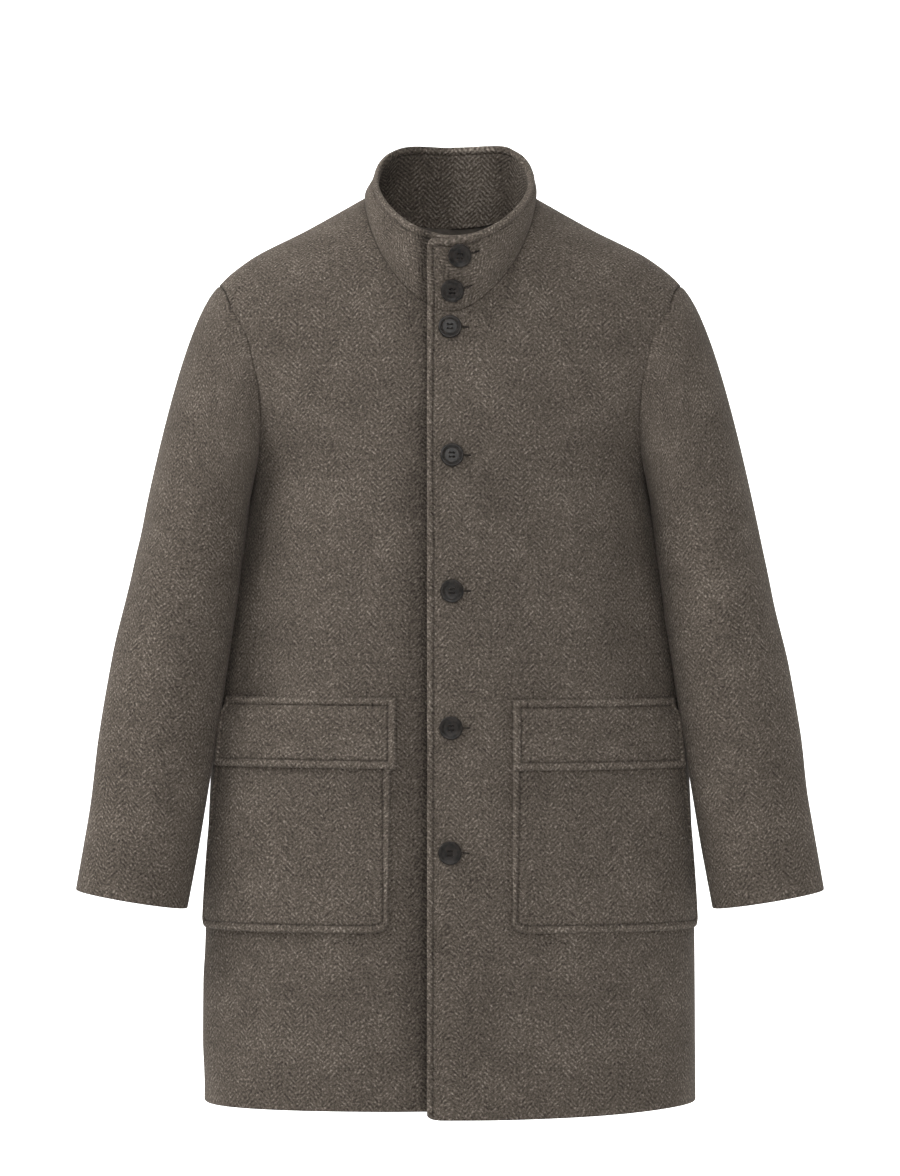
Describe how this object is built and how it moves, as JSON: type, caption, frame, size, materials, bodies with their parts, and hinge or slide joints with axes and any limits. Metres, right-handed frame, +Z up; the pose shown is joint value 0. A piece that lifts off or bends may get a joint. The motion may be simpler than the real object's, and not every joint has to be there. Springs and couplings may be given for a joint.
{
  "type": "funnel-neck coat",
  "caption": "Single-breasted wool coat with a stand-up funnel collar, set-in sleeves and flapped patch pockets, filled out and hollow as if worn.",
  "frame": {"origin": "middle of the neck, level with the highest point of the shoulder seams, where the wearer's shoulders carry the coat", "axes": "+Z up, the front faces -Y, +X towards the wearer's left, where the lapped front is"},
  "size_m": [0.7532, 0.2513, 0.983],
  "materials": {
    "wool": "brushed taupe wool melange with a faint herringbone",
    "lining": "smooth dark satin lining",
    "horn": "dark charcoal-brown horn, satin polish"
  },
  "bodies": {
    "root": {"front_left": "wool", "front_right": "wool", "back": "wool", "sleeve_left_top": "wool", "sleeve_left_under": "wool", "sleeve_right_top": "wool", "sleeve_right_under": "wool", "collar_outer": "wool", "collar_inner": "wool", "neck_facing": "lining", "pocket_left": "wool", "pocket_right": "wool", "flap_left": "wool", "flap_right": "wool", "button_1": "horn", "button_2": "horn", "button_3": "horn", "button_4": "horn", "button_5": "horn", "button_6": "horn", "button_7": "horn"}
  },
  "joints": []
}
